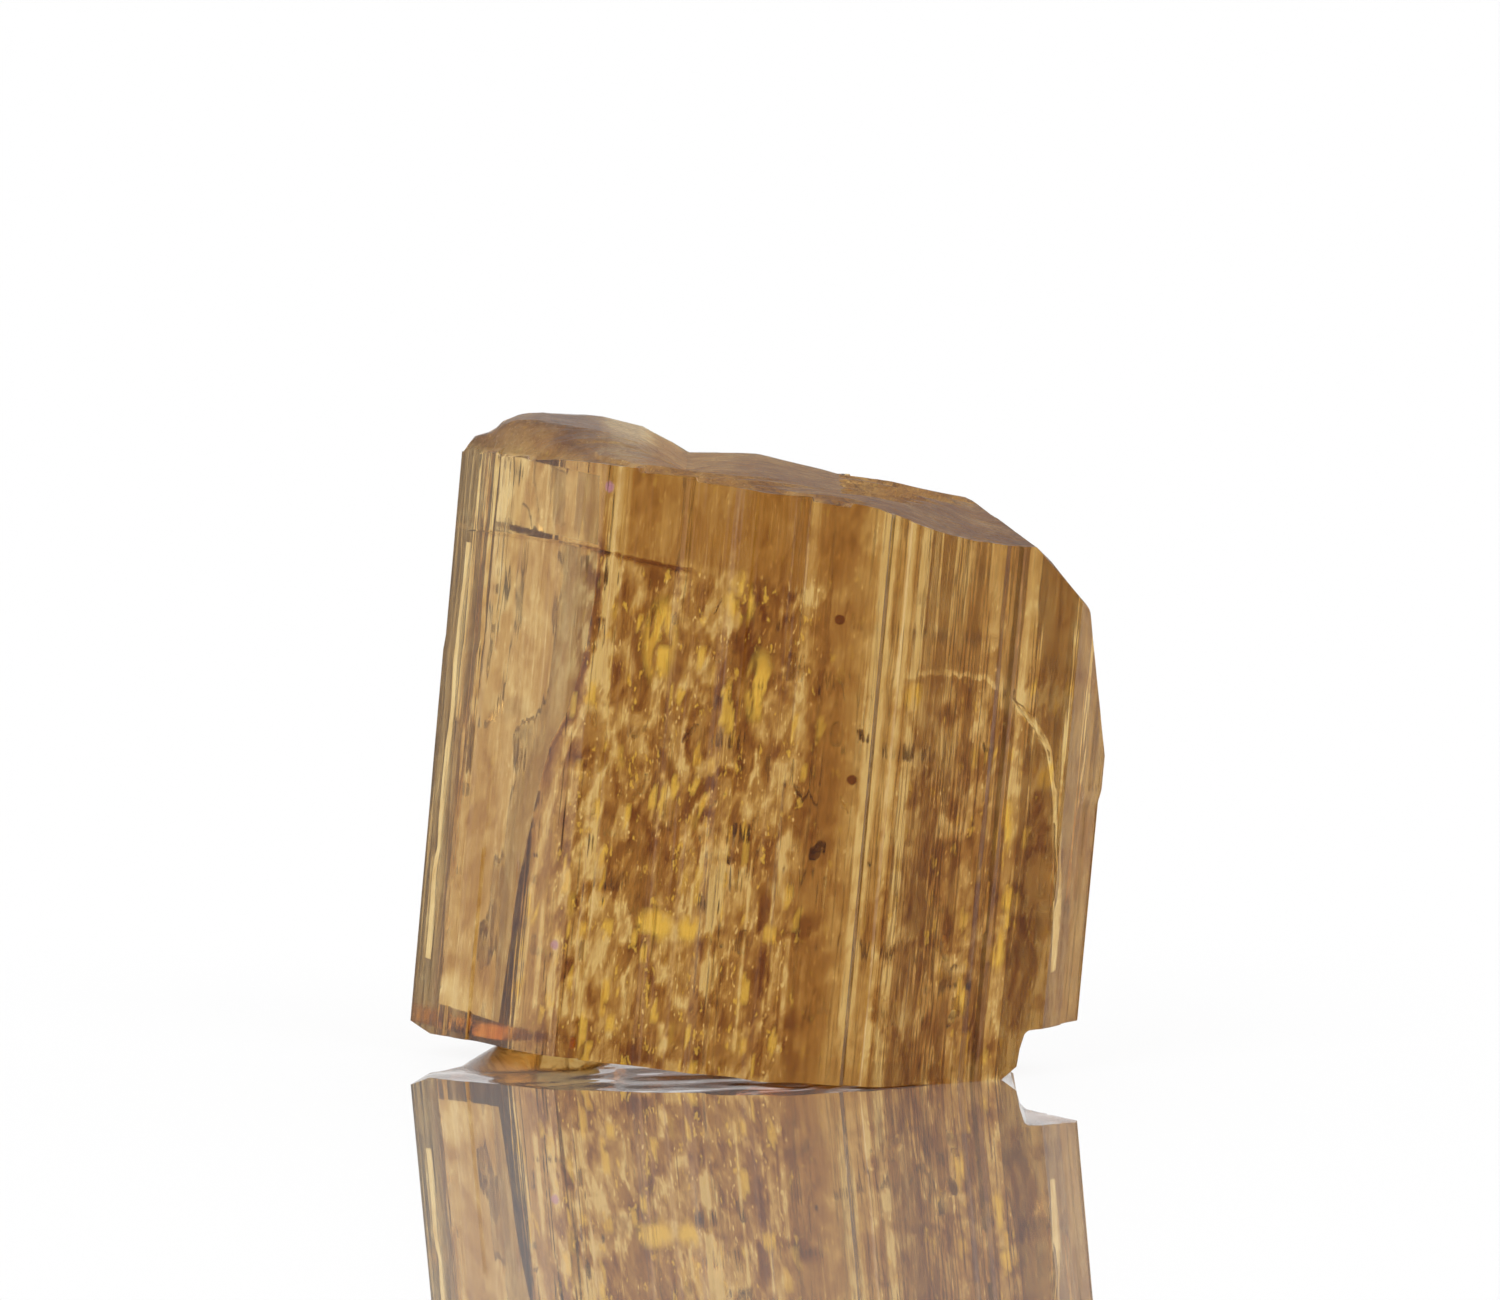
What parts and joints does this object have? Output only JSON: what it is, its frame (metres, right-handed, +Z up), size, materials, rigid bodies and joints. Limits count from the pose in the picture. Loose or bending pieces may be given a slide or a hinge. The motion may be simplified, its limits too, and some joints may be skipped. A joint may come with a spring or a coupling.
{
  "type": "topaz crystal",
  "caption": "Stout golden-brown topaz prism with vertically striated faces, a stepped cleavage top with a raised hill, a broken right shoulder and a cleaved base that it stands on.",
  "frame": {"origin": "centre of the bounding box's bottom face, on the surface that the crystal stands on", "axes": "+Z up, +X to the right as the picture shows it, along the prism's wide direction, +Y away from the viewer, along its narrow direction; the crystal's long c axis leans 5.2 degrees from +Z towards +X"},
  "size_m": [0.0154, 0.0098, 0.0143],
  "materials": {
    "golden_topaz": "transparent golden-brown topaz, vitreous, striated along its length, with inner cracks and veils"
  },
  "bodies": {
    "root": {"topaz_crystal": "golden_topaz"}
  },
  "joints": []
}
